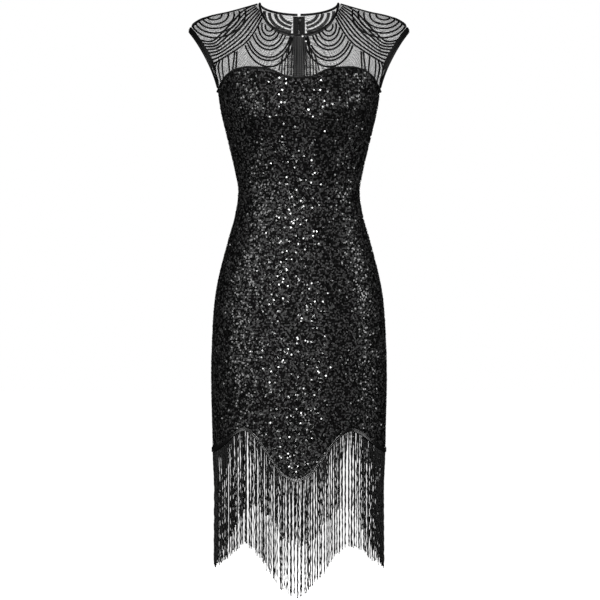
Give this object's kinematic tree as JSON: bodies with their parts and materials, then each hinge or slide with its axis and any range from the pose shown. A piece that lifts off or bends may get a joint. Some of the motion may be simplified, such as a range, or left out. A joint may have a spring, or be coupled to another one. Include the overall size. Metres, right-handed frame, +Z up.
{
  "type": "sequin evening gown",
  "caption": "Hollow black sequin cocktail gown with a corded net yoke, cap sleeves, a centre back zip and long fringe on a zigzag hem.",
  "frame": {"origin": "midway between the two high shoulder points, where the shoulders carry the gown", "axes": "+Z up, the front faces -Y, +X to the right of a viewer in front"},
  "size_m": [0.4422, 0.236, 1.1847],
  "materials": {
    "sequin_cloth": "black knit covered with small black sequins",
    "corded_net": "sheer black net with black cord sewn on",
    "binding": "black beaded binding and piping",
    "fringe_cord": "black beaded strands on a heading",
    "zip_tape": "black woven tape with nylon coil",
    "zip_metal": "black painted slider and pull"
  },
  "bodies": {
    "gown": {"front_panel": "sequin_cloth", "back_panel_left": "sequin_cloth", "back_panel_right": "sequin_cloth", "yoke_front": "corded_net", "yoke_back_left": "corded_net", "yoke_back_right": "corded_net", "neck_binding": "binding", "armhole_binding_left": "binding", "armhole_binding_right": "binding", "bust_seam_piping": "binding", "back_seam_piping_left": "binding", "back_seam_piping_right": "binding", "fringe_front": "fringe_cord", "fringe_back": "fringe_cord", "zip_tape_left": "zip_tape", "zip_tape_right": "zip_tape", "zip_chain": "zip_tape", "zip_slider": "zip_metal"},
    "zip_pull": {"zip_pull_tab": "zip_metal"}
  },
  "joints": [
    {"name": "zip_pull_swing", "type": "hinge", "parent": "gown", "child": "zip_pull", "pos_m": [0, 0.07, -0.03026], "axis": [1, 0, 0], "range_deg": [0, 150]}
  ]
}
